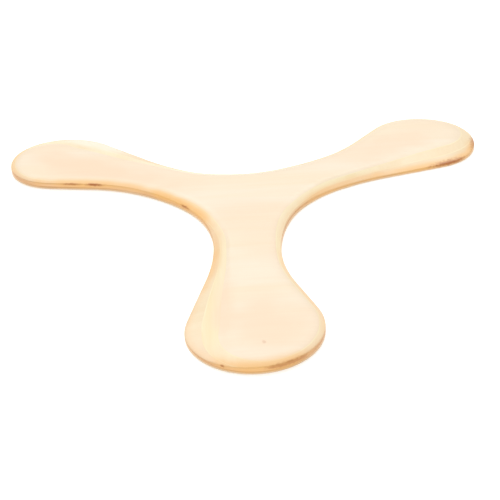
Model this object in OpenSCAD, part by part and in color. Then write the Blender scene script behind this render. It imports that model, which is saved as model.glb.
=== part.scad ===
// Three-bladed boomerang, carved from one sheet of five-ply birch plywood.
// It lies flat: Z points up, the underside is at Z = 0 and the hub's centre is over the origin.
// The first blade points along -Y. Each blade's leading edge is its anticlockwise side.

/* [Blades] */
// Distance from the hub's centre to a blade's tip
blade_len = 150; // [125:1:180]
// Radius of the round lobe that ends a blade
lobe_r = 30.8; // [25:0.1:37]
// How far the lobe leans over to the leading side
lobe_lean = 0.5; // [0:0.1:3]
// Half width of the neck on the leading side
lead_neck_w = 15.6; // [13:0.1:19]
// Half width of the neck on the trailing side
trail_neck_w = 17.4; // [14:0.1:21]
// How far along the blade its leading side is narrowest
lead_neck_at = 58.5; // [50:0.5:70]
// How far along the blade its trailing side is narrowest
trail_neck_at = 47.5; // [40:0.5:60]
// How much of the leading flank runs straight from neck to lobe
lead_straight = 0.2; // [0:0.01:0.4]
// How much of the trailing flank runs straight from neck to lobe
trail_straight = 0.27; // [0:0.01:0.4]
// Distance from the hub's centre to the bottom of a bay between two blades
bay_d = 30; // [25:0.5:36]

/* [Plywood] */
// Thickness of each face veneer, sanded
face_t = 0.6; // [0.5:0.05:0.8]
// Thickness of each cross veneer
cross_t = 1; // [0.8:0.05:1.2]
// Thickness of the core veneer
core_t = 1.4; // [1.1:0.05:1.7]
// Thickness of a glue film
glue_t = 0.1; // [0.06:0.01:0.15]

/* [Leading edge] */
// Width of the round-over
lead_w = 8; // [6:0.5:11]
// How much of the thickness the round-over takes at the edge
lead_drop = 1.4; // [0.8:0.1:2]
// Fullness of the round-over, 1 being a flat chamfer
lead_power = 2.2; // [1.2:0.1:2.8]

/* [Trailing edge] */
// Width of the bevel at a neck and into the bay. From there its inner edge runs straight along the blade.
trail_neck_bevel = 8; // [6:0.5:10]
// How much of the thickness the bevel takes at the edge
trail_drop = 3; // [2:0.1:3.2]
// Fullness of the bevel, 1 being a flat chamfer
trail_power = 1.1; // [1:0.1:1.5]

/* [Underside] */
// Small chamfer around the underside
sole_chamfer = 0.4; // [0.2:0.05:0.6]

/* [Hidden] */

BLADES = 3;
BAY_ANGLE = 180 / BLADES;
// Points along each stretch of a blade's outline
BAY_STEPS = 8;
NECK_STEPS = 10;
FLANK_STEPS = 4;
LOBE_STEPS = 22;
// Steps of the carved edge, from the wall to the flat top
CARVE_STEPS = 6;
// Reach of a curve's handles that makes a bay nearly round
HANDLE = 0.62;
// How far a cutting slab stands clear of an outer face
SPARE = 1;
// Turn around the lobe over which the trailing bevel becomes the leading round-over, 0 being the tip
FADE_FROM = -90;
FADE_TO = 25;

// Layers from the underside up
LAYERS = [face_t, glue_t, cross_t, glue_t, core_t, glue_t, cross_t, glue_t, face_t];
function height_below(number) = number == 0 ? 0 : height_below(number - 1) + LAYERS[number - 1];
panel_t = height_below(len(LAYERS));

// Stations along a blade, from the hub's centre
lobe_at = blade_len - lobe_r;
bay_at = bay_d * cos(BAY_ANGLE);

// Distance of the bevel's straight inner edge from the blade's middle line, and the bevel's width where the
// lobe is widest
crease_at = trail_neck_w - trail_neck_bevel;
lobe_bevel = lobe_r - lobe_lean - crease_at;

function mix(a, b, share) = a + (b - a) * share;
function smooth(x) = let (c = max(0, min(1, x))) c * c * (3 - 2 * c);
function direction(a) = [cos(a), sin(a)];
function turned(v, a) = [v.x * cos(a) - v.y * sin(a), v.x * sin(a) + v.y * cos(a)];
function unit(v) = v / norm(v);

// Every stretch of outline is a list of [place, way into the wood, turn around the lobe], for a blade
// along +X and its side at +Y, running out from the hub. The next stretch starts where it ends.

// The bay, from its bottom to the neck: a curve that meets the next blade's bay square to the bisector
function bay(neck) =
    let (
        start = bay_d * direction(BAY_ANGLE),
        corner = start + direction(BAY_ANGLE - 90) * (start.y - neck.y) / cos(BAY_ANGLE),
        pull = [start, mix(start, corner, HANDLE), mix(neck, corner, HANDLE), neck]
    )
    [for (i = [0 : BAY_STEPS - 1])
        let (
            t = i / BAY_STEPS,
            near = mix(mix(pull[0], pull[1], t), mix(pull[1], pull[2], t), t),
            far = mix(mix(pull[1], pull[2], t), mix(pull[2], pull[3], t), t)
        )
        [mix(near, far, t), turned(unit(far - near), -90), FADE_FROM]];

// The hollow of the neck, an arc whose centre is outside the wood
function hollow_arc(centre, r, from, to) =
    [for (i = [0 : NECK_STEPS - 1])
        let (way = direction(mix(from, to, i / NECK_STEPS)))
        [centre + r * way, way, FADE_FROM]];

// The round end of the blade, an arc whose centre is inside the wood
function lobe_arc(centre, from) =
    [for (i = [0 : LOBE_STEPS - 1])
        let (a = mix(from, 0, i / LOBE_STEPS))
        [centre + lobe_r * direction(a), -direction(a), -a]];

// One side of a blade as far as the tip: bay, neck, straight flank and lobe
function side(neck_at, neck_w, straight, lean) =
    let (
        neck = [neck_at, neck_w],
        lobe = [lobe_at, lean],
        away = lobe - neck,
        neck_r = (1 - straight) * (away * away - pow(lobe_r, 2)) / (lobe_r + away.y) / 2,
        centre = neck + [0, neck_r],
        across = lobe - centre,
        flank_way = atan2(across.y, across.x) - acos((neck_r + lobe_r) / norm(across)),
        flank_from = centre + neck_r * direction(flank_way),
        flank_to = lobe - lobe_r * direction(flank_way)
    )
    concat(
        bay(neck),
        hollow_arc(centre, neck_r, -90, flank_way),
        [for (i = [0 : FLANK_STEPS - 1])
            [mix(flank_from, flank_to, i / FLANK_STEPS), direction(flank_way), FADE_FROM]],
        lobe_arc(lobe, flank_way + 180)
    );

// Share of trailing edge at a point: half and half in the bay's middle, all of it by the neck, and
// changing over again around the tip
function bay_share(p, neck_at) = 0.5 + 0.5 * smooth((p[0].x - bay_at) / (neck_at - bay_at));
function tip_share(turn) = 1 - smooth((turn - FADE_FROM) / (FADE_TO - FADE_FROM));

// Width of the trailing bevel: even along the bay, then as far as the straight inner edge, and from the
// lobe's widest place on as wide as there
function bevel_w(p, neck_at) =
    p[0].x < neck_at ? trail_neck_bevel
    : p[2] > FADE_FROM ? lobe_bevel
    : (p[0].y - crease_at) / -p[1].y;

// A blade's edge, anticlockwise: out along the trailing side, round the tip, back along the leading side.
// Each entry is [place, way into the wood, share of trailing edge, width of the carving].
function flip(v) = [v.x, -v.y];
function backwards(list) = [for (i = [len(list) - 1 : -1 : 1]) list[i]];
trail_side = [
    for (p = side(trail_neck_at, trail_neck_w, trail_straight, -lobe_lean))
        let (share = p[2] > FADE_FROM ? tip_share(p[2]) : bay_share(p, trail_neck_at))
        [flip(p[0]), flip(p[1]), share, mix(lead_w, bevel_w(p, trail_neck_at), share)]
];
lead_side = [
    for (p = side(lead_neck_at, lead_neck_w, lead_straight, lobe_lean))
        let (share = p[2] > FADE_FROM ? tip_share(-p[2]) : 1 - bay_share(p, lead_neck_at))
        [p[0], p[1], share, mix(lead_w, p[2] > FADE_FROM ? lobe_bevel : trail_neck_bevel, share)]
];
tip = [[blade_len, lobe_lean], [-1, 0], tip_share(0), mix(lead_w, lobe_bevel, tip_share(0))];
blade_edge = concat(trail_side, [tip], backwards(lead_side));
edge = [
    for (b = [0 : BLADES - 1])
        let (a = b * 360 / BLADES - 90)
        for (p = blade_edge) [turned(p[0], a), turned(p[1], a), p[2], p[3]]
];

// A point of the edge, moved into the wood and to a height
function at_height(p, inset, z) = let (place = p[0] + p[1] * inset) [place.x, place.y, z];

// A point of the carved surface, at a share of the way from the wall, 0, to the flat top, 1
function carved(p, share) =
    let (
        drop = mix(lead_drop, trail_drop, p[2]),
        power = mix(lead_power, trail_power, p[2])
    )
    at_height(p, p[3] * share, panel_t - drop * pow(1 - share, power));

// Triangles over the flat inside of a ring that starts at a point: the hub, then rungs across each blade
// from its trailing side to its leading side
function cap(first) =
    let (m = len(blade_edge), n = len(edge))
    concat(
        [[for (b = [0 : BLADES - 1]) first + b * m]],
        [for (b = [0 : BLADES - 1], i = [0 : m / 2 - 1])
            [first + b * m + i, first + b * m + i + 1, first + (b * m + m - i) % n]],
        [for (b = [0 : BLADES - 1], i = [0 : m / 2 - 2])
            [first + b * m + i + 1, first + b * m + m - i - 1, first + (b * m + m - i) % n]]
    );

// The whole blank, carved: an underside ring, the wall's foot and the rings of the carved edge
module blank() {
    rings = concat(
        [[for (p = edge) at_height(p, sole_chamfer, 0)], [for (p = edge) at_height(p, 0, sole_chamfer)]],
        [for (i = [0 : CARVE_STEPS]) [for (p = edge) carved(p, i / CARVE_STEPS)]]
    );
    n = len(edge);
    walls = [
        for (r = [0 : len(rings) - 2])
            for (i = [0 : n - 1])
                let (a = r * n + i, b = r * n + (i + 1) % n)
                each [[a, a + n, b], [b, a + n, b + n]]
    ];
    top = [for (f = cap((len(rings) - 1) * n)) [f[2], f[1], f[0]]];
    polyhedron([for (ring = rings) each ring], concat(walls, cap(0), top), convexity = 6);
}

// One layer of the plywood, as far as the carving leaves it. The slab that cuts an outer layer out of the
// blank stands clear of the blank's own face.
module layer(number) {
    reach = blade_len + lobe_r;
    low = number == 0 ? -SPARE : height_below(number);
    high = number == len(LAYERS) - 1 ? panel_t + SPARE : height_below(number + 1);
    intersection() {
        blank();
        translate([-reach, -reach, low])
            cube([2 * reach, 2 * reach, high - low]);
    }
}

module back_veneer() { color("#F1DDBC") layer(0); }
module back_glue() { color("#A9743F") layer(1); }
module lower_cross_veneer() { color("#D9A66C") layer(2); }
module lower_core_glue() { color("#A9743F") layer(3); }
module core_veneer() { color("#F3D9A9") layer(4); }
module upper_core_glue() { color("#A9743F") layer(5); }
module upper_cross_veneer() { color("#F2CF93") layer(6); }
module face_glue() { color("#A9743F") layer(7); }
module face_veneer() { color("#F8E3C6") layer(8); }

back_veneer();
back_glue();
lower_cross_veneer();
lower_core_glue();
core_veneer();
upper_core_glue();
upper_cross_veneer();
face_glue();
face_veneer();
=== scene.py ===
# A three-bladed boomerang of five-ply birch plywood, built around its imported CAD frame. Each veneer and each
# glue film is cut out of one carved blank, whose outline and layer heights come from the CAD nodes.
# Lengths are in metres, and lengths in materials are in millimetres.
import functools
import math
from collections import namedtuple

import bmesh
import bpy
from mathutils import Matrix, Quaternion, Vector


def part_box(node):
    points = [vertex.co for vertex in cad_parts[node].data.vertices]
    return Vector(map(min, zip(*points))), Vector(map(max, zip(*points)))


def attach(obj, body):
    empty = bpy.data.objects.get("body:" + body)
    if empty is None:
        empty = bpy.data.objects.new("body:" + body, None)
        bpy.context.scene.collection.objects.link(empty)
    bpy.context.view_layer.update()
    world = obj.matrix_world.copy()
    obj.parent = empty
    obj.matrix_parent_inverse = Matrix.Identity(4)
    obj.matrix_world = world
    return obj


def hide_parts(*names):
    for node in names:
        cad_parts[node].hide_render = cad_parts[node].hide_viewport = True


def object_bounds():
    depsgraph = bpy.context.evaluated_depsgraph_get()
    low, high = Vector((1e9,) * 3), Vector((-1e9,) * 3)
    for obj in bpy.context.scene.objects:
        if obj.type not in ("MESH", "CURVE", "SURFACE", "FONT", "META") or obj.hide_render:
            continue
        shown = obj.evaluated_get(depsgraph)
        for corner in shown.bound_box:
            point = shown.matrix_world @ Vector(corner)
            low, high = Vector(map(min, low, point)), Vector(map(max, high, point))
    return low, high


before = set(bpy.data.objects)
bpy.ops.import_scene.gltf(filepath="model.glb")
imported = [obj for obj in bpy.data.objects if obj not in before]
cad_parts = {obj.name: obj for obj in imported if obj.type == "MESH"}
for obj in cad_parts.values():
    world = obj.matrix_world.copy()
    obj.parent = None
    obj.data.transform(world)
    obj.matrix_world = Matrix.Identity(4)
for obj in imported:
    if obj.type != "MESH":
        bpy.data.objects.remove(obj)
CAD_LOW, CAD_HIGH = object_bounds()

bl_info = {
    "name": "Plywood boomerang",
    "version": (1, 0, 0),
    "blender": (4, 5, 0),
    "location": "3D View > Sidebar > Boomerang",
    "description": "Builds a carved three-bladed boomerang from birch veneers and glue films",
    "category": "Add Mesh",
}

MM = 0.001
BODY = "root"
BLADES = 3
BLADE_STEP = math.tau / BLADES
FIRST_BLADE = -math.pi / 2
# The layers from the underside up, and the heights of the whole panel
LAYERS = sorted(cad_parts, key=lambda name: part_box(name)[0].z)
UNDERSIDE = CAD_LOW.z
TOP = CAD_HIGH.z
BLADE_LENGTH = -CAD_LOW.y
OUTLINE_LAYER = "back_glue"
# Spacing of the outline's points, and passes that sand its corners and smooth its inward directions
OUTLINE_SPACING = 1.5 * MM
CORNER_PASSES = 4
INWARD_PASSES = 30
# Rings of vertices round the underside's rim and over the carving; the arris is the carving's first ring
ROUND_STEPS = 3
CARVE_STEPS = 14
ARRIS_RING = ROUND_STEPS + 1
ARRIS_SEGMENTS = 3
# Widths of the rims inside each flat cap
CAP_RIMS = (0.8 * MM, 4 * MM)
# Turn round the tip at which the bevel starts to become the round-over, and how far it goes on
FADE_FROM = math.radians(-90)
FADE_OVER = math.radians(115)
# Edges sharper than this stay crisp
CRISP_ANGLE = math.radians(40)
# Tolerances: the same height on a blank, on a cut or in the CAD mesh, and the same point
ON_BLANK = MM / 100
ON_CUT = MM / 1000
SAME_POINT = MM / 10000
# Each vertex holds its distance in from the outline, in millimetres, which the lacquer's soaking follows
FROM_EDGE = "from_edge"


def linear(hex_colour):
    """A scene-linear colour from sRGB hex."""
    channels = [int(hex_colour[i : i + 2], 16) / 255 for i in (1, 3, 5)]
    return [c / 12.92 if c <= 0.04045 else ((c + 0.055) / 1.055) ** 2.4 for c in channels]


def mix(a, b, share):
    return a + (b - a) * share


def smooth(x):
    x = max(0.0, min(1.0, x))
    return x * x * (3 - 2 * x)


class BoomerangCarving(bpy.types.PropertyGroup):
    """Sizes of the carved edges, which the CAD model's heights and outline don't give."""

    lobe_radius: bpy.props.FloatProperty(
        name="Lobe radius", description="Radius of the round lobe that ends a blade",
        default=30.8 * MM, unit="LENGTH",
    )
    lead_width: bpy.props.FloatProperty(
        name="Round-over width", description="Width of the leading edge's round-over",
        default=8 * MM, unit="LENGTH",
    )
    lead_drop: bpy.props.FloatProperty(
        name="Round-over drop", description="Thickness that the round-over takes at the edge",
        default=1.4 * MM, unit="LENGTH",
    )
    lead_fullness: bpy.props.FloatProperty(
        name="Round-over fullness", description="Power of the round-over's curve, 1 being a flat chamfer",
        default=2.2,
    )
    neck_bevel: bpy.props.FloatProperty(
        name="Neck bevel", description="Width of the trailing bevel along a neck",
        default=8 * MM, unit="LENGTH",
    )
    trail_drop: bpy.props.FloatProperty(
        name="Bevel drop", description="Thickness that the trailing bevel takes at the edge",
        default=3 * MM, unit="LENGTH",
    )
    trail_fullness: bpy.props.FloatProperty(
        name="Bevel fullness", description="Power of the bevel's curve, 1 being a flat chamfer",
        default=1.1,
    )
    sole_round: bpy.props.FloatProperty(
        name="Underside round", description="Radius of the sanded arris around the underside",
        default=0.4 * MM, unit="LENGTH",
    )
    arris_round: bpy.props.FloatProperty(
        name="Edge round", description="Sanded round between the upright edge and the carving",
        default=0.45 * MM, unit="LENGTH",
    )
    waver: bpy.props.FloatProperty(
        name="Hand waver", description="How much the width and depth of the carving waver along the edge",
        default=0.035, subtype="FACTOR",
    )


class BoomerangFinish(bpy.types.PropertyGroup):
    """Colours of the wood, the glue and the stage."""

    face_pale: bpy.props.FloatVectorProperty(
        name="Face, pale", description="Pale figure of the face veneers",
        default=linear("#DECEB6"), size=3, subtype="COLOR",
    )
    face_deep: bpy.props.FloatVectorProperty(
        name="Face, deep", description="Deeper figure of the face veneers",
        default=linear("#DDCAAC"), size=3, subtype="COLOR",
    )
    rosy: bpy.props.FloatVectorProperty(
        name="Rosy clouds", description="Pinker parts of the wood",
        default=linear("#DEC2A3"), size=3, subtype="COLOR",
    )
    # Painted highlight: a paler colour laid on the left arm's far bevel, which faces the light behind
    far_bevel_highlight: bpy.props.FloatVectorProperty(
        name="Sapwood", description="Palest wood, from just under the bark",
        default=linear("#E4DAC4"), size=3, subtype="COLOR",
    )
    cross_pale: bpy.props.FloatVectorProperty(
        name="Cross, pale", description="Pale figure of the cross veneers",
        default=linear("#E1D4B0"), size=3, subtype="COLOR",
    )
    cross_deep: bpy.props.FloatVectorProperty(
        name="Cross, deep", description="Deeper figure of the cross veneers",
        default=linear("#DDCA9E"), size=3, subtype="COLOR",
    )
    core_pale: bpy.props.FloatVectorProperty(
        name="Core, pale", description="Pale figure of the core veneer",
        default=linear("#DDCAA8"), size=3, subtype="COLOR",
    )
    core_deep: bpy.props.FloatVectorProperty(
        name="Core, deep", description="Deeper figure of the core veneer",
        default=linear("#DAC39C"), size=3, subtype="COLOR",
    )
    edge_long: bpy.props.FloatVectorProperty(
        name="Edge, long grain", description="Lacquered edge where the grain runs along it",
        default=linear("#E6BC8C"), size=3, subtype="COLOR",
    )
    edge_end: bpy.props.FloatVectorProperty(
        name="Edge, end grain", description="Lacquered edge where the grain ends in it",
        default=linear("#C08A50"), size=3, subtype="COLOR",
    )
    glue: bpy.props.FloatVectorProperty(
        name="Glue", description="Hardened glue in the joints",
        default=linear("#B07C48"), size=3, subtype="COLOR",
    )
    amber: bpy.props.FloatVectorProperty(
        name="Amber", description="Wood that holds more lacquer, in the bays and under the tips",
        default=linear("#DFAB60"), size=3, subtype="COLOR",
    )
    # This colour serves real bark streaks and pin knots, and painted shade: its scorch marks are painted shade
    # on the front and right tips' walls that face away from the light
    stain_and_shade: bpy.props.FloatVectorProperty(
        name="Stain", description="Bark streaks, pin knots and scorch marks",
        default=linear("#A45E20"), size=3, subtype="COLOR",
    )
    floor: bpy.props.FloatVectorProperty(
        name="Floor", description="Colour of the floor",
        default=linear("#FAFAFA"), size=3, subtype="COLOR",
    )


class BoomerangStudio(bpy.types.PropertyGroup):
    """Camera and light."""

    aim: bpy.props.FloatVectorProperty(
        name="Aim", description="Point on the floor that the camera looks at",
        default=(0.46 * MM, -49.0 * MM, 0), size=3, subtype="TRANSLATION", unit="LENGTH",
    )
    distance: bpy.props.FloatProperty(
        name="Distance", description="Distance from the camera to the aim",
        default=519.5 * MM, unit="LENGTH",
    )
    azimuth: bpy.props.FloatProperty(
        name="Azimuth", description="Turn of the camera about the aim, 0 looking along +Y",
        default=math.radians(-0.3), subtype="ANGLE",
    )
    elevation: bpy.props.FloatProperty(
        name="Elevation", description="Height of the camera over the floor, as an angle at the aim",
        default=math.radians(30.52), subtype="ANGLE",
    )
    roll: bpy.props.FloatProperty(
        name="Roll", description="Turn of the camera about its own view",
        default=math.radians(-2.88), subtype="ANGLE",
    )
    lens: bpy.props.FloatProperty(
        name="Lens", description="Focal length in millimetres on a 36 mm sensor", default=75.94,
    )
    sky: bpy.props.FloatProperty(
        name="Room light", description="Even light from all round", default=0.88,
    )
    glow: bpy.props.FloatProperty(
        name="Floor light", description="Light that the floor gives off", default=0.25,
    )
    key: bpy.props.FloatProperty(
        name="Key light", description="Power of the large soft light behind the object, in watts",
        default=36.0,
    )
    fill: bpy.props.FloatProperty(
        name="Fill light", description="Power of the low soft light in front of the object, in watts",
        default=2.5,
    )


# The carved blank


def cad_outline(node):
    """The outline of a CAD layer with upright walls, as a ring of points in order."""
    mesh = bmesh.new()
    mesh.from_mesh(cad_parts[node].data)
    bmesh.ops.remove_doubles(mesh, verts=mesh.verts, dist=ON_CUT)
    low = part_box(node)[0].z
    beside = {}
    for edge in mesh.edges:
        flat = [abs(face.normal.z) > 0.5 for face in edge.link_faces]
        if sorted(flat) == [False, True] and all(abs(v.co.z - low) < ON_BLANK for v in edge.verts):
            for v in edge.verts:
                beside.setdefault(v, []).append(edge.other_vert(v))
    start = min(beside, key=lambda v: v.co.y)
    ring = [start]
    here = max(beside[start], key=lambda v: v.co.x)
    while here is not start:
        onward = [v for v in beside[here] if v is not ring[-1]][0]
        ring.append(here)
        here = onward
    points = [v.co.xy.copy() for v in ring]
    mesh.free()
    return points


def even_ring(points, spacing, passes):
    """The same ring with evenly spaced points, sanded so that its corners go."""
    ends = points[1:] + points[:1]
    lengths = [(b - a).length for a, b in zip(points, ends)]
    count = round(sum(lengths) / spacing)
    step = sum(lengths) / count
    ring = []
    done = 0.0
    for a, b, length in zip(points, ends, lengths):
        while len(ring) < count and len(ring) * step < done + length:
            ring.append(a.lerp(b, (len(ring) * step - done) / length))
        done += length
    for _ in range(passes):
        ring = [(ring[i - 1] + 2 * p + ring[(i + 1) % count]) / 4 for i, p in enumerate(ring)]
    return ring


class Station:
    """A place on the outline, with the sizes of the carving there."""

    def __init__(self, place, inward, turn):
        self.place = place
        self.inward = inward
        blade = round((math.atan2(place.y, place.x) - FIRST_BLADE) / BLADE_STEP)
        out = FIRST_BLADE + blade * BLADE_STEP
        # Along the blade, across it with its leading side positive, and how squarely the wood lies across it
        self.along = place.x * math.cos(out) + place.y * math.sin(out)
        self.across = place.y * math.cos(out) - place.x * math.sin(out)
        self.square = abs(inward.y * math.cos(out) - inward.x * math.sin(out))
        self.turn = turn


@functools.cache
def outline_stations():
    """The stations round the outline, whose inward directions turn gradually, as a long rasp stroke does."""
    ring = even_ring(cad_outline(OUTLINE_LAYER), OUTLINE_SPACING, CORNER_PASSES)
    count = len(ring)
    inward = []
    for i in range(count):
        onward = ring[(i + 1) % count] - ring[i - 1]
        inward.append(Vector((-onward.y, onward.x)).normalized())
    for _ in range(INWARD_PASSES):
        inward = [(inward[i - 1] + 2 * n + inward[(i + 1) % count]) / 4 for i, n in enumerate(inward)]
    return [Station(p, n.normalized(), math.tau * i / count) for i, (p, n) in enumerate(zip(ring, inward))]


def carve(stations, carving):
    """Works out each station's share of trailing edge, and from it the carving's width, drop and power.

    From neck to lobe the bevel's inner edge runs straight along the blade. Then it turns round with the tip.
    """
    lobe_at = BLADE_LENGTH - carving.lobe_radius
    bay_at = min(s.place.length for s in stations) * math.cos(BLADE_STEP / 2)
    necks = {}
    for side in (-1, 1):
        inboard = [s for s in stations if s.across * side > 0 and bay_at < s.along < lobe_at]
        necks[side] = min(inboard, key=lambda s: abs(s.across))
    crease = -necks[-1].across - carving.neck_bevel
    lobe_bevel = max(-s.across for s in stations) - crease
    for s in stations:
        side = 1 if s.across > 0 else -1
        neck = necks[side].along
        by_neck = 0.5 + 0.5 * smooth((s.along - bay_at) / (neck - bay_at))
        round_tip = math.atan2(s.across, s.along - lobe_at)
        by_tip = 1 - smooth((round_tip - FADE_FROM) / FADE_OVER)
        share = min(by_neck, by_tip) if side < 0 else max(1 - by_neck, by_tip)
        if s.along < neck:
            bevel = carving.neck_bevel
        elif side < 0 and s.along < lobe_at:
            bevel = (-s.across - crease) / s.square
        else:
            bevel = lobe_bevel
        hand = carving.waver * (math.sin(7 * s.turn + 1) + 0.6 * math.sin(19 * s.turn + 2.3))
        s.width = mix(carving.lead_width, bevel, share) * (1 + hand)
        s.drop = mix(carving.lead_drop, carving.trail_drop, share)
        s.drop *= 1 - carving.waver * math.sin(11 * s.turn + 0.4)
        s.power = mix(carving.lead_fullness, carving.trail_fullness, share)


def profile(station, carving):
    """(inset, height) of each ring at a station, from the underside's rim over the edge to the flat top."""
    radius = carving.sole_round
    rings = []
    for i in range(ROUND_STEPS + 1):
        angle = math.pi / 2 * i / ROUND_STEPS
        rings.append((radius * (1 - math.sin(angle)), UNDERSIDE + radius * (1 - math.cos(angle))))
    for i in range(CARVE_STEPS + 1):
        share = i / CARVE_STEPS
        rings.append((station.width * share, TOP - station.drop * (1 - share) ** station.power))
    return rings


def deselect(mesh):
    for part in (*mesh.verts, *mesh.edges, *mesh.faces):
        part.select = False


def select_cap(obj, height):
    """In edit mode, selects the largest face at a height, which closes the blank above or below."""
    mesh = bmesh.from_edit_mesh(obj.data)
    deselect(mesh)
    flat = [face for face in mesh.faces if abs(face.calc_center_median().z - height) < ON_BLANK]
    max(flat, key=lambda face: face.calc_area()).select_set(True)
    bmesh.update_edit_mesh(obj.data)


def carved_blank(name, carving):
    """The whole boomerang as one solid: a filled ring, extruded ring by ring over the carved edge."""
    stations = outline_stations()
    count = len(stations)
    carve(stations, carving)
    profiles = [profile(s, carving) for s in stations]

    bpy.ops.object.select_all(action="DESELECT")
    bpy.ops.mesh.primitive_circle_add(vertices=count, radius=BLADE_LENGTH, fill_type="NGON")
    blank = bpy.context.object
    blank.name = blank.data.name = name
    bpy.ops.object.mode_set(mode="EDIT")
    mesh = bmesh.from_edit_mesh(blank.data)
    mesh.verts.layers.int.new("station")
    mesh.verts.layers.int.new("ring")
    mesh.verts.layers.float.new(FROM_EDGE)
    for i, v in enumerate(mesh.verts):
        v[mesh.verts.layers.int["station"]] = i
    for level in range(len(profiles[0])):
        if level:
            bpy.ops.mesh.extrude_region_move()
        mesh = bmesh.from_edit_mesh(blank.data)
        for v in mesh.verts:
            if v.select:
                i = v[mesh.verts.layers.int["station"]]
                inset, height = profiles[i][level]
                v.co = (stations[i].place + stations[i].inward * inset).to_3d()
                v.co.z = height
                v[mesh.verts.layers.int["ring"]] = level
                v[mesh.verts.layers.float[FROM_EDGE]] = inset / MM
        bmesh.update_edit_mesh(blank.data)
    # The arris between the upright edge and the carving is rounded
    mesh = bmesh.from_edit_mesh(blank.data)
    deselect(mesh)
    for edge in mesh.edges:
        if all(v[mesh.verts.layers.int["ring"]] == ARRIS_RING for v in edge.verts):
            edge.select_set(True)
    bmesh.update_edit_mesh(blank.data)
    bpy.ops.mesh.bevel(offset=carving.arris_round, segments=ARRIS_SEGMENTS, profile=0.5)
    # Two rims inside each flat cap keep its shading flat, and take the distance from the outline inwards
    for height in (TOP, UNDERSIDE):
        for rim in CAP_RIMS:
            select_cap(blank, height)
            bpy.ops.mesh.inset(thickness=rim)
            mesh = bmesh.from_edit_mesh(blank.data)
            for v in mesh.verts:
                if v.select:
                    v[mesh.verts.layers.float[FROM_EDGE]] += rim / MM
            bmesh.update_edit_mesh(blank.data)
    bpy.ops.mesh.select_all(action="SELECT")
    bpy.ops.mesh.normals_make_consistent(inside=False)
    bpy.ops.object.mode_set(mode="OBJECT")
    return blank


def cut_away(obj, height, above):
    """Saws off what is above or below a height, closes the cut and keeps its rim crisp."""
    bpy.ops.object.mode_set(mode="EDIT")
    bpy.ops.mesh.select_all(action="SELECT")
    bpy.ops.mesh.bisect(
        plane_co=(0, 0, height), plane_no=(0, 0, 1), use_fill=True,
        clear_outer=above, clear_inner=not above, threshold=SAME_POINT,
    )
    mesh = bmesh.from_edit_mesh(obj.data)
    deselect(mesh)
    for edge in mesh.edges:
        if all(abs(v.co.z - height) < ON_CUT for v in edge.verts):
            edge.select_set(True)
    bmesh.update_edit_mesh(obj.data)
    bpy.ops.mesh.mark_sharp()
    bpy.ops.object.mode_set(mode="OBJECT")


def make_layer(node, material, carving):
    """Makes one veneer or glue film, cut out of a carved blank at the heights of its CAD node."""
    low, high = (corner.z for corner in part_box(node))
    piece = carved_blank(node + "_carved", carving)
    if node != LAYERS[-1]:
        cut_away(piece, high, above=True)
    if node != LAYERS[0]:
        cut_away(piece, low, above=False)
    bpy.ops.object.mode_set(mode="EDIT")
    bpy.ops.mesh.select_all(action="SELECT")
    bpy.ops.mesh.remove_doubles(threshold=SAME_POINT)
    bpy.ops.mesh.normals_make_consistent(inside=False)
    bpy.ops.object.mode_set(mode="OBJECT")
    bpy.ops.object.shade_smooth_by_angle(angle=CRISP_ANGLE, keep_sharp_edges=True)
    piece.data.materials.append(material)
    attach(piece, BODY)
    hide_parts(node)


# Materials


def add(tree, kind, inputs=None, **settings):
    """Adds a node, sets its properties, and fills or links its inputs."""
    new = tree.nodes.new(kind)
    for name, value in settings.items():
        setattr(new, name, value)
    for name, value in (inputs or {}).items():
        if isinstance(value, bpy.types.NodeSocket):
            tree.links.new(value, new.inputs[name])
        else:
            new.inputs[name].default_value = value
    return new


# Sockets of the Mix node when it mixes colours
MIX_A, MIX_B, MIX_OUT = 6, 7, 2
# Index of refraction of lacquer and of hardened glue
CLEAR_IOR = 1.5
# How level the wood lies where the upright edge's colour begins, and where it is all there
LEVEL, STEEP = 0.95, 0.4
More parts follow.
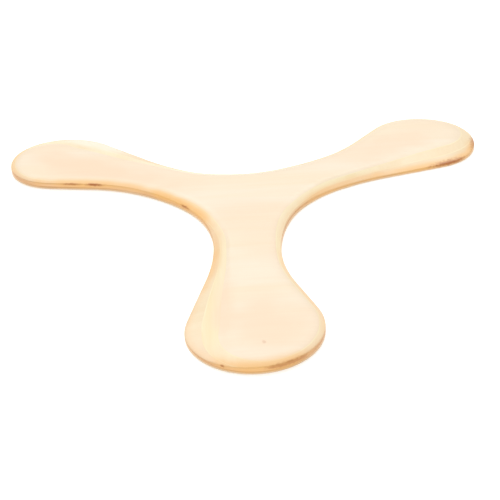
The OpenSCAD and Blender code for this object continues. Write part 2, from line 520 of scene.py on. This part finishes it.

# What the tree, the tools and the lacquer left on the wood, and some painted shade and a painted highlight, as
# soft ellipsoids in millimetres. A mark is so far along a blade and so far across it. One with an inset is
# moved to that distance in from the outline.
Mark = namedtuple("Mark", "name tint blade along across inset height half_sizes strength")
FRONT, RIGHT, LEFT = 0, 1, 2
MARKS = (
    Mark("front_heart", "rosy", FRONT, 120, 6, None, 5, (26, 24, 9), 0.75),
    Mark("front_flank", "rosy", FRONT, 105, -12, None, 5, (36, 7, 8), 0.7),
    Mark("left_heart", "rosy", LEFT, 90, 6, None, 5, (55, 16, 9), 1),
    Mark("right_heart", "rosy", RIGHT, 105, 4, None, 5, (30, 16, 9), 0.6),
    # Painted highlight: the pale patch on the left arm's far bevel, which faces the key light behind
    Mark("left_sapwood", "far_bevel_highlight", LEFT, 112, -26, None, 4, (34, 11, 8), 0.9),
    Mark("elbow_pool", "amber", LEFT, 28, 17, 2, 3.6, (44, 24, 3), 1),
    Mark("left_pool", "amber", LEFT, 85, 20, 1, 3.6, (40, 12, 3), 0.8),
    Mark("left_tip_pool", "amber", LEFT, 147, 12, 2, 3.6, (24, 12, 3), 0.4),
    Mark("neck_pool", "amber", FRONT, 62, -18, 2, 2.6, (34, 12, 3), 0.5),
    Mark("bay_pool", "amber", RIGHT, 45, -18, 2, 2.6, (34, 16, 3), 0.5),
    Mark("right_pool", "amber", RIGHT, 100, -31, 3, 2.6, (38, 12, 3), 0.8),
    Mark("right_tip_pool", "amber", RIGHT, 138, -24, 2, 2.6, (14, 12, 3), 0.8),
    Mark("front_pool", "amber", FRONT, 148, 2, 5, 3, (30, 16, 3), 0.8),
    Mark("left_streak_outer", "stain_and_shade", LEFT, 97, 24, 0, 3.4, (7, 1.4, 0.8), 0.7),
    Mark("left_streak_inner", "stain_and_shade", LEFT, 84, 20, 0, 3.4, (7, 1.6, 1), 0.95),
    Mark("elbow_streak", "stain_and_shade", LEFT, 25, 20, 0, 3, (5, 1.2, 0.9), 0.8),
    # These three are painted shade: dark bands low on the walls of the right lobe and of the front and right
    # tips, which face away from the light
    Mark("right_scorch", "stain_and_shade", RIGHT, 114, -33, 0, 2, (18, 4, 1.8), 0.95),
    Mark("right_tip_scorch", "stain_and_shade", RIGHT, 141, -18, 0, 2.4, (15, 4, 1.6), 0.7),
    Mark("front_scorch", "stain_and_shade", FRONT, 147, 13, 0, 2.9, (26, 2.2, 1.4), 0.6),
    Mark("tip_spot", "stain_and_shade", FRONT, 146, -14, 0, 2.6, (1.4, 1, 0.8), 0.8),
    Mark("back_streak_outer", "stain_and_shade", LEFT, 110, -32, 0.5, 2.5, (3, 0.8, 1), 0.6),
    Mark("back_streak_inner", "stain_and_shade", LEFT, 94, -30, 0.5, 2.5, (2.5, 0.8, 1), 0.6),
    Mark("pin_knot", "stain_and_shade", FRONT, 134, 4, None, 5, (1.5, 1.2, 1), 0.3),
)


def mark_place(mark):
    """The middle of a mark, and its turn: along the outline if it has an inset, or else along its blade."""
    out = FIRST_BLADE + mark.blade * BLADE_STEP
    along, across = mark.along * MM, mark.across * MM
    place = Vector((
        along * math.cos(out) - across * math.sin(out), along * math.sin(out) + across * math.cos(out),
    ))
    if mark.inset is None:
        return (*place, mark.height * MM), out
    station = min(outline_stations(), key=lambda s: (s.place - place).length)
    place = station.place + station.inward * mark.inset * MM
    return (*place, mark.height * MM), math.atan2(station.inward.y, station.inward.x) - math.pi / 2


def marked(tree, place, colour, finish):
    """Lays the marks over a colour, some of them painted shade or a painted highlight. Amber ones keep to the
    band along the outline that drinks lacquer.
    """
    # Ragged rims: 1.5 mm on a stain or a painted shade, 15 mm on a broad mark
    fine_rim = add(tree, "ShaderNodeTexNoise", {"Vector": place, "Scale": 1 / (1.5 * MM), "Detail": 2})
    broad_rim = add(tree, "ShaderNodeTexNoise", {"Vector": place, "Scale": 1 / (15 * MM), "Detail": 1})
    from_edge = add(tree, "ShaderNodeAttribute", attribute_name=FROM_EDGE)
    # The band is whole 1 mm in from the outline and gone 7 mm in
    band = add(
        tree, "ShaderNodeMapRange", {"Value": from_edge.outputs["Fac"], "From Min": 7, "From Max": 1},
        interpolation_type="SMOOTHSTEP",
    )
    for mark in MARKS:
        middle, turn = mark_place(mark)
        spot = add(
            tree, "ShaderNodeMapping",
            {
                "Vector": place, "Location": middle, "Rotation": (0, 0, turn),
                "Scale": [size * MM for size in mark.half_sizes],
            },
            vector_type="TEXTURE", label=mark.name,
        )
        reach = add(tree, "ShaderNodeVectorMath", {0: spot.outputs["Vector"]}, operation="LENGTH")
        ragged = fine_rim if mark.tint == "stain_and_shade" else broad_rim
        rim = add(
            tree, "ShaderNodeMath", {0: reach.outputs["Value"], 1: ragged.outputs["Fac"]}, operation="ADD",
        )
        # With its rim's noise of about 0.5, a mark fades out a little way inside and outside its ellipsoid
        share = add(
            tree, "ShaderNodeMapRange",
            {"Value": rim.outputs["Value"], "From Min": 1.6, "From Max": 0.7, "To Max": mark.strength},
            interpolation_type="SMOOTHSTEP",
        ).outputs["Result"]
        if mark.tint == "amber":
            share = add(
                tree, "ShaderNodeMath", {0: share, 1: band.outputs["Result"]}, operation="MULTIPLY",
            ).outputs["Value"]
        colour = add(
            tree, "ShaderNodeMix", {0: share, MIX_A: colour, MIX_B: (*getattr(finish, mark.tint), 1)},
            data_type="RGBA",
        ).outputs[MIX_OUT]
    return colour


def birch_veneer(name, pale, deep, finish, grain, offset):
    """Rotary-cut birch, sanded and sealed with clear satin lacquer.

    The face is pale and faintly streaked along the grain. Edges take up more lacquer, so they are amber, and
    deeper where the grain ends in them. The foot of each upright edge is painted paler, as painted floor
    light.
    """
    material = bpy.data.materials.new(name)
    material.use_nodes = True
    tree = material.node_tree
    tree.nodes.clear()
    place = add(tree, "ShaderNodeTexCoord").outputs["Object"]
    # Millimetres, with the grain along X
    local = add(
        tree, "ShaderNodeMapping",
        {"Vector": place, "Rotation": (0, 0, -grain), "Scale": (1 / MM,) * 3, "Location": offset},
    ).outputs["Vector"]
    # Broad figure, 14 mm across and 160 mm long
    broad = add(tree, "ShaderNodeMapping", {"Vector": local, "Scale": (1 / 160, 1 / 14, 1 / 14)})
    figure = add(
        tree, "ShaderNodeTexNoise",
        {"Vector": broad.outputs["Vector"], "Scale": 1, "Detail": 3, "Roughness": 0.5, "Distortion": 0.6},
    )
    figure_share = add(
        tree, "ShaderNodeMapRange",
        {"Value": figure.outputs["Fac"], "From Min": 0.35, "From Max": 0.68},
        interpolation_type="SMOOTHSTEP",
    )
    wood = add(
        tree, "ShaderNodeMix", {0: figure_share.outputs["Result"], MIX_A: (*pale, 1), MIX_B: (*deep, 1)},
        data_type="RGBA",
    )
    # Rosy and creamy clouds, 60 mm across
    clouds = add(tree, "ShaderNodeTexNoise", {"Vector": local, "Scale": 1 / 60, "Detail": 1})
    cloud_share = add(
        tree, "ShaderNodeMapRange",
        {"Value": clouds.outputs["Fac"], "From Min": 0.42, "From Max": 0.62, "To Max": 0.4},
        interpolation_type="SMOOTHSTEP",
    )
    clouded = add(
        tree, "ShaderNodeMix",
        {0: cloud_share.outputs["Result"], MIX_A: wood.outputs[MIX_OUT], MIX_B: (*finish.rosy, 1)},
        data_type="RGBA",
    )
    # Fibres, drawn 0.9 mm across and 30 mm long, coarser than real ones so that they show
    fine = add(tree, "ShaderNodeMapping", {"Vector": local, "Scale": (1 / 30, 1 / 0.9, 1 / 0.9)})
    fibre = add(
        tree, "ShaderNodeTexNoise",
        {"Vector": fine.outputs["Vector"], "Scale": 1, "Detail": 4, "Roughness": 0.6},
    )
    streak = add(
        tree, "ShaderNodeMapRange",
        {"Value": fibre.outputs["Fac"], "From Min": 0.3, "From Max": 0.7, "To Min": 0.985, "To Max": 1.01},
    )
    streaked = add(
        tree, "ShaderNodeVectorMath",
        {0: clouded.outputs[MIX_OUT], "Scale": streak.outputs["Result"]}, operation="SCALE",
    )
    # Lacquer soaks in within 4 mm of the outline, unevenly over 25 mm, and all over an upright edge
    from_edge = add(tree, "ShaderNodeAttribute", attribute_name=FROM_EDGE)
    near_edge = add(
        tree, "ShaderNodeMapRange",
        {"Value": from_edge.outputs["Fac"], "From Min": 4, "From Max": 0.5, "To Max": 0.5},
        interpolation_type="SMOOTHSTEP",
    )
    uneven = add(tree, "ShaderNodeTexNoise", {"Vector": local, "Scale": 1 / 25, "Detail": 2})
    patchy = add(
        tree, "ShaderNodeMapRange",
        {"Value": uneven.outputs["Fac"], "From Min": 0.3, "From Max": 0.7, "To Min": 0.35, "To Max": 1.3},
    )
    soaked = add(
        tree, "ShaderNodeMath", {0: near_edge.outputs["Result"], 1: patchy.outputs["Result"]},
        operation="MULTIPLY",
    )
    normal = add(tree, "ShaderNodeNewGeometry").outputs["Normal"]
    upward = add(tree, "ShaderNodeVectorMath", {0: normal, 1: (0, 0, 1)}, operation="DOT_PRODUCT")
    level = add(tree, "ShaderNodeMath", {0: upward.outputs["Value"]}, operation="ABSOLUTE")
    steep = add(
        tree, "ShaderNodeMapRange",
        {"Value": level.outputs["Value"], "From Min": LEVEL, "From Max": STEEP},
    )
    # Painted floor light: the foot of the edge is painted paler over the lowest 1.6 mm, as light from the lit
    # floor would make it
    height = add(tree, "ShaderNodeSeparateXYZ", {"Vector": local}).outputs["Z"]
    painted_floor_light = add(
        tree, "ShaderNodeMapRange",
        {"Value": height, "From Min": 0.3, "From Max": 1.6, "To Min": 0.1, "To Max": 1},
        interpolation_type="SMOOTHSTEP",
    )
    soak_there = add(
        tree, "ShaderNodeMath", {0: soaked.outputs["Value"], 1: steep.outputs["Result"]},
        operation="MAXIMUM",
    )
    # The lacquer's soak, mostly taken off at the foot of the edge by the painted floor light
    soak_and_floor_light = add(
        tree, "ShaderNodeMath", {0: soak_there.outputs["Value"], 1: painted_floor_light.outputs["Result"]},
        operation="MULTIPLY",
    )
    grain_way = (math.cos(grain), math.sin(grain), 0)
    ending = add(tree, "ShaderNodeVectorMath", {0: normal, 1: grain_way}, operation="DOT_PRODUCT")
    end_share = add(tree, "ShaderNodeMath", {0: ending.outputs["Value"]}, operation="ABSOLUTE")
    edge = add(
        tree, "ShaderNodeMix",
        {0: end_share.outputs["Value"], MIX_A: (*finish.edge_long, 1), MIX_B: (*finish.edge_end, 1)},
        data_type="RGBA",
    )
    colour = add(
        tree, "ShaderNodeMix",
        {0: soak_and_floor_light.outputs["Value"], MIX_A: streaked.outputs["Vector"], MIX_B: edge.outputs[MIX_OUT]},
        data_type="RGBA",
    ).outputs[MIX_OUT]
    colour = marked(tree, place, colour, finish)
    bump = add(
        tree, "ShaderNodeBump", {"Height": fibre.outputs["Fac"], "Strength": 0.25, "Distance": 0.03 * MM},
    )
    rough = add(
        tree, "ShaderNodeMapRange",
        {"Value": fibre.outputs["Fac"], "From Min": 0.3, "From Max": 0.7, "To Min": 0.5, "To Max": 0.38},
    )
    shader = add(
        tree, "ShaderNodeBsdfPrincipled",
        {
            "Base Color": colour, "Roughness": rough.outputs["Result"],
            "Normal": bump.outputs["Normal"], "IOR": CLEAR_IOR, "Coat Weight": 0.15, "Coat Roughness": 0.25,
        },
    )
    add(tree, "ShaderNodeOutputMaterial", {"Surface": shader.outputs["BSDF"]})
    return material


def glue_line(name, finish):
    """Hardened urea glue, scraped and sanded flush.

    It hardly shows where the carving cuts it at a slant. In the upright edge it is a thin brown line that
    comes and goes.
    """
    material = bpy.data.materials.new(name)
    material.use_nodes = True
    tree = material.node_tree
    tree.nodes.clear()
    place = add(tree, "ShaderNodeTexCoord").outputs["Object"]
    # The line fades in and out over about 12 mm
    patches = add(tree, "ShaderNodeTexNoise", {"Vector": place, "Scale": 1 / (12 * MM), "Detail": 2})
    strength = add(
        tree, "ShaderNodeMapRange",
        {"Value": patches.outputs["Fac"], "From Min": 0.35, "From Max": 0.65, "To Min": 0.1, "To Max": 0.8},
    )
    normal = add(tree, "ShaderNodeNewGeometry").outputs["Normal"]
    upward = add(tree, "ShaderNodeVectorMath", {0: normal, 1: (0, 0, 1)}, operation="DOT_PRODUCT")
    steep = add(
        tree, "ShaderNodeMapRange", {"Value": upward.outputs["Value"], "From Min": LEVEL, "From Max": STEEP},
    )
    edge = add(
        tree, "ShaderNodeMix",
        {0: strength.outputs["Result"], MIX_A: (*finish.edge_long, 1), MIX_B: (*finish.glue, 1)},
        data_type="RGBA",
    )
    slant = add(
        tree, "ShaderNodeMix",
        {0: strength.outputs["Result"], MIX_A: (*finish.cross_pale, 1), MIX_B: (*finish.cross_deep, 1)},
        data_type="RGBA",
    )
    colour = add(
        tree, "ShaderNodeMix",
        {0: steep.outputs["Result"], MIX_A: slant.outputs[MIX_OUT], MIX_B: edge.outputs[MIX_OUT]},
        data_type="RGBA",
    )
    shader = add(
        tree, "ShaderNodeBsdfPrincipled",
        {
            "Base Color": marked(tree, place, colour.outputs[MIX_OUT], finish), "Roughness": 0.45,
            "IOR": CLEAR_IOR,
        },
    )
    add(tree, "ShaderNodeOutputMaterial", {"Surface": shader.outputs["BSDF"]})
    return material


def lit_floor(name, colour, glow):
    """Matt white acrylic, lit a little from below, which gives the eye nothing but a pale ground."""
    material = bpy.data.materials.new(name)
    material.use_nodes = True
    shader = material.node_tree.nodes["Principled BSDF"]
    shader.inputs["Base Color"].default_value = (*colour, 1)
    shader.inputs["Roughness"].default_value = 0.9
    shader.inputs["Specular IOR Level"].default_value = 0.2
    shader.inputs["Emission Color"].default_value = (1, 1, 1, 1)
    shader.inputs["Emission Strength"].default_value = glow
    return material


# Operators


class FaceVeneers(bpy.types.Operator):
    """Makes the two face veneers, which lie on the outside of the panel"""

    bl_idname = "boomerang.face_veneers"
    bl_label = "Face veneers"

    def execute(self, context):
        scene = context.scene
        finish = scene.boomerang_finish
        material = birch_veneer(
            "birch_face_sanded_lacquered", finish.face_pale, finish.face_deep, finish, 0, (0, 0, 0)
        )
        for node in ("back_veneer", "face_veneer"):
            make_layer(node, material, scene.boomerang_carving)
        return {"FINISHED"}


class CrossVeneers(bpy.types.Operator):
    """Makes the two cross veneers, whose grain runs across the face veneers' grain"""

    bl_idname = "boomerang.cross_veneers"
    bl_label = "Cross veneers"

    def execute(self, context):
        scene = context.scene
        finish = scene.boomerang_finish
        material = birch_veneer(
            "birch_cross_ply_carved", finish.cross_pale, finish.cross_deep, finish, math.pi / 2, (40, 70, 0)
        )
        for node in ("lower_cross_veneer", "upper_cross_veneer"):
            make_layer(node, material, scene.boomerang_carving)
        return {"FINISHED"}


class CoreVeneer(bpy.types.Operator):
    """Makes the core veneer in the middle of the panel"""

    bl_idname = "boomerang.core_veneer"
    bl_label = "Core veneer"

    def execute(self, context):
        scene = context.scene
        finish = scene.boomerang_finish
        material = birch_veneer(
            "birch_core_ply_carved", finish.core_pale, finish.core_deep, finish, 0, (15, 120, 0)
        )
        make_layer("core_veneer", material, scene.boomerang_carving)
        return {"FINISHED"}


class GlueFilms(bpy.types.Operator):
    """Makes the four glue films between the veneers"""

    bl_idname = "boomerang.glue_films"
    bl_label = "Glue films"

    def execute(self, context):
        scene = context.scene
        material = glue_line("urea_glue_sanded", scene.boomerang_finish)
        for node in ("back_glue", "lower_core_glue", "upper_core_glue", "face_glue"):
            make_layer(node, material, scene.boomerang_carving)
        return {"FINISHED"}


FLOOR_SIZE = 30.0
FLOOR_GAP = 0.1 * MM
# (name, place, side of the square) of each light, and the studio's setting that holds its power
LIGHTS = (
    ("key_light", (-0.1, 1.5, 2.0), 2.0, "key"),
    ("fill_light", (-0.5, -1.6, 0.5), 1.0, "fill"),
)


class Studio(bpy.types.Operator):
    """Makes the floor, the soft light and the camera"""

    bl_idname = "boomerang.studio"
    bl_label = "Studio"

    def execute(self, context):
        scene = context.scene
        studio = scene.boomerang_studio
        bpy.ops.object.select_all(action="DESELECT")
        bpy.ops.mesh.primitive_plane_add(size=FLOOR_SIZE, location=(0, 0, UNDERSIDE - FLOOR_GAP))
        floor = context.object
        floor.name = "floor"
        bpy.ops.object.transform_apply(location=True)
        white = lit_floor("white_acrylic_lit", scene.boomerang_finish.floor, studio.glow)
        floor.data.materials.append(white)

        world = bpy.data.worlds.new("soft_room")
        scene.world = world
        world.use_nodes = True
        backdrop = world.node_tree.nodes["Background"]
        backdrop.inputs["Color"].default_value = (1, 1, 1, 1)
        backdrop.inputs["Strength"].default_value = studio.sky

        aim = Vector(studio.aim)
        for name, place, size, power in LIGHTS:
            bpy.ops.object.light_add(type="AREA", location=place)
            light = context.object
            light.name = name
            light.data.shape = "SQUARE"
            light.data.size = size
            light.data.energy = getattr(studio, power)
            light.rotation_mode = "QUATERNION"
            light.rotation_quaternion = (-Vector(place)).to_track_quat("-Z", "Y")

        back = Vector((
            math.sin(studio.azimuth) * math.cos(studio.elevation),
            -math.cos(studio.azimuth) * math.cos(studio.elevation),
            math.sin(studio.elevation),
        ))
        bpy.ops.object.camera_add(location=aim + back * studio.distance)
        camera = context.object
        camera.name = "camera"
        camera.data.sensor_width = 36
        camera.data.lens = studio.lens
        camera.data.clip_start = 10 * MM
        camera.rotation_mode = "QUATERNION"
        roll = Quaternion((0, 0, 1), studio.roll)
        camera.rotation_quaternion = (-back).to_track_quat("-Z", "Y") @ roll
        scene.camera = camera
        scene.view_settings.view_transform = "Standard"
        return {"FINISHED"}


class BoomerangPanel(bpy.types.Panel):
    """Lists the pieces, their sizes and their colours"""

    bl_idname = "VIEW3D_PT_boomerang"
    bl_label = "Boomerang"
    bl_space_type = "VIEW_3D"
    bl_region_type = "UI"
    bl_category = "Boomerang"

    def draw(self, context):
        for operator in OPERATORS:
            self.layout.operator(operator.bl_idname)
        for name in GROUPS:
            group = getattr(context.scene, name)
            box = self.layout.box()
            for key in group.bl_rna.properties.keys():
                if key not in ("name", "rna_type"):
                    box.prop(group, key)


OPERATORS = (FaceVeneers, CrossVeneers, CoreVeneer, GlueFilms, Studio)
GROUPS = {
    "boomerang_carving": BoomerangCarving,
    "boomerang_finish": BoomerangFinish,
    "boomerang_studio": BoomerangStudio,
}


def register():
    for cls in (*GROUPS.values(), *OPERATORS, BoomerangPanel):
        bpy.utils.register_class(cls)
    for name, cls in GROUPS.items():
        setattr(bpy.types.Scene, name, bpy.props.PointerProperty(type=cls))


def unregister():
    for name in GROUPS:
        delattr(bpy.types.Scene, name)
    for cls in (BoomerangPanel, *reversed(OPERATORS), *reversed(GROUPS.values())):
        bpy.utils.unregister_class(cls)


def main():
    register()
    bpy.ops.boomerang.studio()
    bpy.ops.boomerang.face_veneers()
    bpy.ops.boomerang.cross_veneers()
    bpy.ops.boomerang.core_veneer()
    bpy.ops.boomerang.glue_films()


if __name__ == "__main__":
    main()
